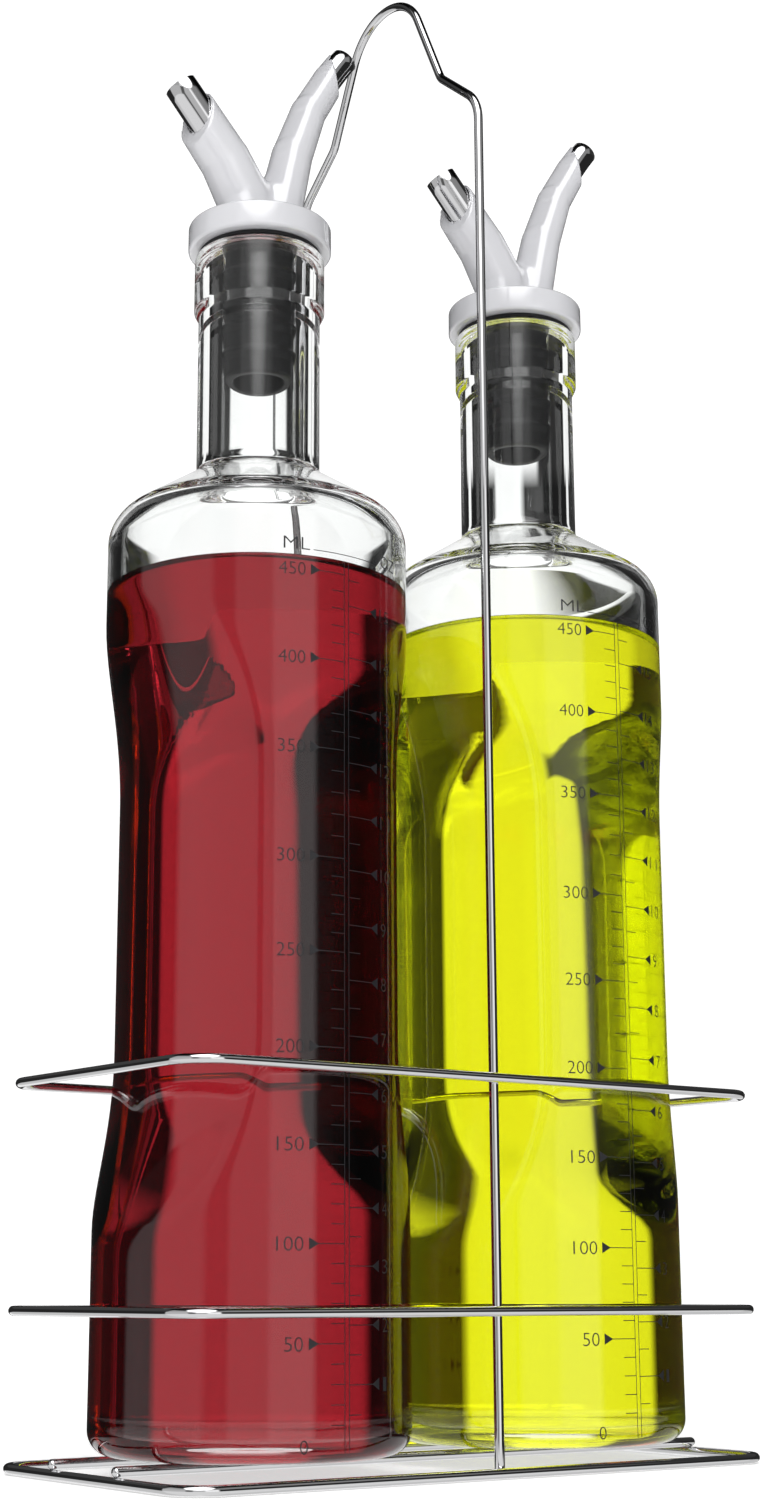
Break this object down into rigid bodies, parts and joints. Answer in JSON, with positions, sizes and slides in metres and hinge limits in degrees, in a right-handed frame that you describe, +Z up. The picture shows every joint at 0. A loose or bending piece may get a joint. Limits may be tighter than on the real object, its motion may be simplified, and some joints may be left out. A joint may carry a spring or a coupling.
{
  "type": "cruet set",
  "caption": "Wire rack with an arched carrying handle holding two glass bottles of vinegar and oil, each with side finger grips, a printed scale and a two-armed pouring stopper.",
  "frame": {"origin": "on the table, under the middle of the rack", "axes": "+X along the rack from the vinegar bottle to the oil bottle, +Z up, the front with the printed scales at -Y"},
  "size_m": [0.1484, 0.0742, 0.3352],
  "materials": {
    "chrome_wire": "polished",
    "clear_glass": "clear",
    "red_vinegar": "clear liquid",
    "yellow_oil": "clear liquid",
    "black_rubber": "satin",
    "white_plastic": "gloss",
    "steel_tube": "polished"
  },
  "bodies": {
    "rack": {"base_ring": "chrome_wire", "lower_rail": "chrome_wire", "upper_rail": "chrome_wire", "handle_wire": "chrome_wire", "front_support_wire": "chrome_wire", "back_support_wire": "chrome_wire"},
    "vinegar_bottle_body": {"vinegar_bottle": "clear_glass", "vinegar_fill": "red_vinegar"},
    "vinegar_stopper_body": {"vinegar_stopper": "black_rubber"},
    "vinegar_pourer_body": {"vinegar_pourer": "white_plastic", "vinegar_spout_tube": "steel_tube", "vinegar_vent_tube": "steel_tube"},
    "oil_bottle_body": {"oil_bottle": "clear_glass", "oil_fill": "yellow_oil"},
    "oil_stopper_body": {"oil_stopper": "black_rubber"},
    "oil_pourer_body": {"oil_pourer": "white_plastic", "oil_spout_tube": "steel_tube", "oil_vent_tube": "steel_tube"}
  },
  "joints": [
    {"name": "vinegar_bottle_lift", "type": "slide", "parent": "rack", "child": "vinegar_bottle_body", "axis": [0, 0, 1], "range_m": [0, 0.08]},
    {"name": "vinegar_stopper_pull", "type": "slide", "parent": "vinegar_bottle_body", "child": "vinegar_stopper_body", "axis": [0, 0, 1], "range_m": [0, 0.034]},
    {"name": "vinegar_pourer_turn", "type": "hinge", "parent": "vinegar_stopper_body", "child": "vinegar_pourer_body", "pos_m": [-0.0371, -0.002, 0.2625], "axis": [0, 0, 1], "continuous": true},
    {"name": "oil_bottle_lift", "type": "slide", "parent": "rack", "child": "oil_bottle_body", "axis": [0, 0, 1], "range_m": [0, 0.08]},
    {"name": "oil_stopper_pull", "type": "slide", "parent": "oil_bottle_body", "child": "oil_stopper_body", "axis": [0, 0, 1], "range_m": [0, 0.034]},
    {"name": "oil_pourer_turn", "type": "hinge", "parent": "oil_stopper_body", "child": "oil_pourer_body", "pos_m": [0.0371, -0.002, 0.2625], "axis": [0, 0, 1], "continuous": true}
  ]
}
